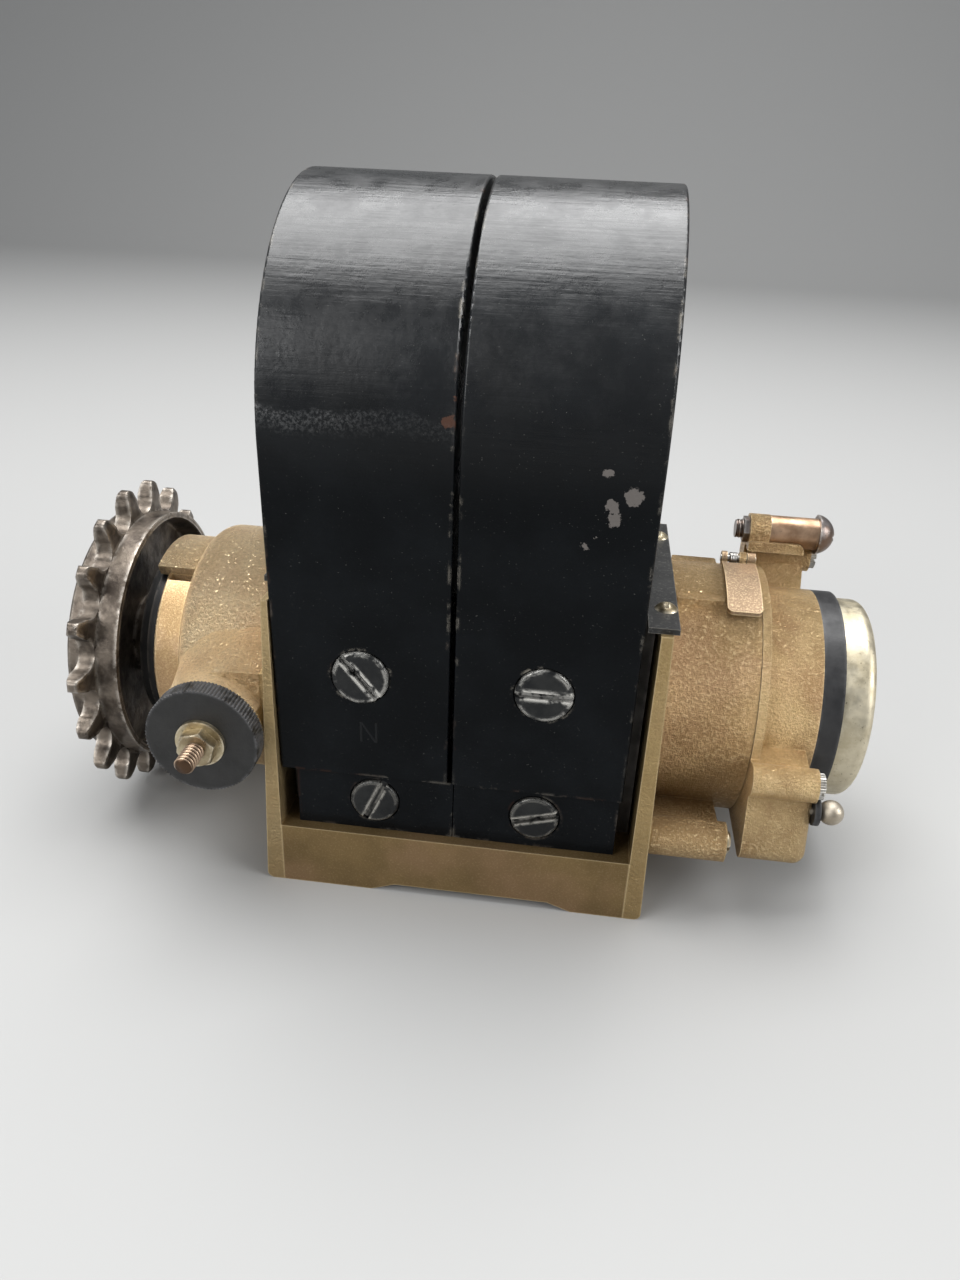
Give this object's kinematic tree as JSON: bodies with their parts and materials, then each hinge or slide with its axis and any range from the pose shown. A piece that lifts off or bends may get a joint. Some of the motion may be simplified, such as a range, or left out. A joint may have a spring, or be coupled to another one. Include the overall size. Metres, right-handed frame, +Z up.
{
  "type": "horseshoe-magnet ignition magneto",
  "caption": "Base-mounted ignition magneto with two horseshoe magnets, a chain sprocket at the drive end and a capped contact breaker in a timing housing.",
  "frame": {"origin": "middle of the base's underside, halfway between the end frames and below the shaft's axis", "axes": "+X along the shaft, from the sprocket towards the end cap; -Y towards the brush holder's knob; +Z up from the base towards the magnets' arches"},
  "size_m": [0.1732, 0.0924, 0.1362],
  "materials": {
    "machined_bronze": "machined bronze, dull",
    "cast_bronze": "rough cast bronze",
    "strap_brass": "worn strap brass",
    "plated_brass": "worn plating",
    "slip_brass": "machined brass",
    "soft_iron": "dull iron",
    "black_paint": "worn black enamel",
    "black_ebonite": "black hard rubber",
    "carbon": "carbon",
    "spring_steel": "bright steel",
    "bearing_steel": "ground steel",
    "dark_steel": "dark oiled steel",
    "dark_screw": "blackened steel",
    "bright_steel": "bright steel",
    "copper_winding": "enamelled copper wire",
    "copper_sleeve": "coppery, dull",
    "nickel_plate": "worn nickel plate"
  },
  "bodies": {
    "frame": {"base_block": "machined_bronze", "drive_end_frame": "cast_bronze", "breaker_end_frame": "cast_bronze", "front_pole_shoe": "soft_iron", "rear_pole_shoe": "soft_iron", "left_magnet": "black_paint", "right_magnet": "black_paint", "left_foot_blocks": "black_paint", "right_foot_blocks": "black_paint", "top_cover": "machined_bronze", "neck_band": "strap_brass", "brush_holder": "black_ebonite", "terminal_stud": "plated_brass", "terminal_washer": "plated_brass", "terminal_nut": "plated_brass", "carbon_brush": "carbon", "brush_spring": "spring_steel", "bearing_outer_rings": "bearing_steel", "bearing_cover": "dark_steel", "flap_pin": "spring_steel", "flap_spring": "spring_steel", "stop_pin": "spring_steel", "boss_screw": "plated_brass", "magnet_screws": "dark_screw", "foot_block_screws": "dark_screw", "end_frame_screws": "dark_screw", "pole_shoe_screws": "dark_screw", "cover_screws": "plated_brass"},
    "rotor": {"armature_core": "soft_iron", "armature_winding": "copper_winding", "drive_shaft": "bearing_steel", "breaker_shaft": "bearing_steel", "condenser": "black_ebonite", "slip_ring_spool": "black_ebonite", "slip_ring": "slip_brass", "bearing_inner_rings": "bearing_steel", "bearing_balls": "bearing_steel", "drive_sprocket": "dark_steel", "sprocket_key": "dark_steel", "sprocket_washer": "dark_steel", "sprocket_nut": "dark_steel", "contact_breaker_disc": "slip_brass", "breaker_screw": "spring_steel", "fixed_contact": "slip_brass", "lever_pivot": "spring_steel", "lever_spring": "spring_steel"},
    "timing": {"timing_housing": "cast_bronze", "control_screw": "bright_steel", "control_sleeve": "copper_sleeve", "control_nut": "dark_steel", "earth_terminal": "bright_steel", "earth_terminal_washer": "black_ebonite", "insulating_ring": "black_ebonite", "cam_ring": "bearing_steel", "lug_screws": "bright_steel"},
    "cap": {"end_cap": "nickel_plate"},
    "flap": {"oil_flap": "machined_bronze"},
    "lever": {"breaker_lever": "slip_brass"}
  },
  "joints": [
    {"name": "rotor_turn", "type": "hinge", "parent": "frame", "child": "rotor", "pos_m": [0, 0, 0.0355], "axis": [1, 0, 0], "continuous": true},
    {"name": "timing_turn", "type": "hinge", "parent": "frame", "child": "timing", "pos_m": [0, 0, 0.0355], "axis": [-1, 0, 0], "range_deg": [0, 10]},
    {"name": "cap_pull", "type": "slide", "parent": "timing", "child": "cap", "axis": [1, 0, 0], "range_m": [0, 0.025]},
    {"name": "flap_lift", "type": "hinge", "parent": "frame", "child": "flap", "pos_m": [0.054, 0.005, 0.0639], "axis": [-1, 0, 0], "range_deg": [0, 95], "stiffness_Nm_per_rad": 0.002, "springref_deg": -28.65},
    {"name": "lever_rock", "type": "hinge", "parent": "rotor", "child": "lever", "pos_m": [0.0647, -0.0095, 0.04], "axis": [1, 0, 0], "range_deg": [0, 4], "stiffness_Nm_per_rad": 0.05, "springref_deg": -11.46}
  ]
}
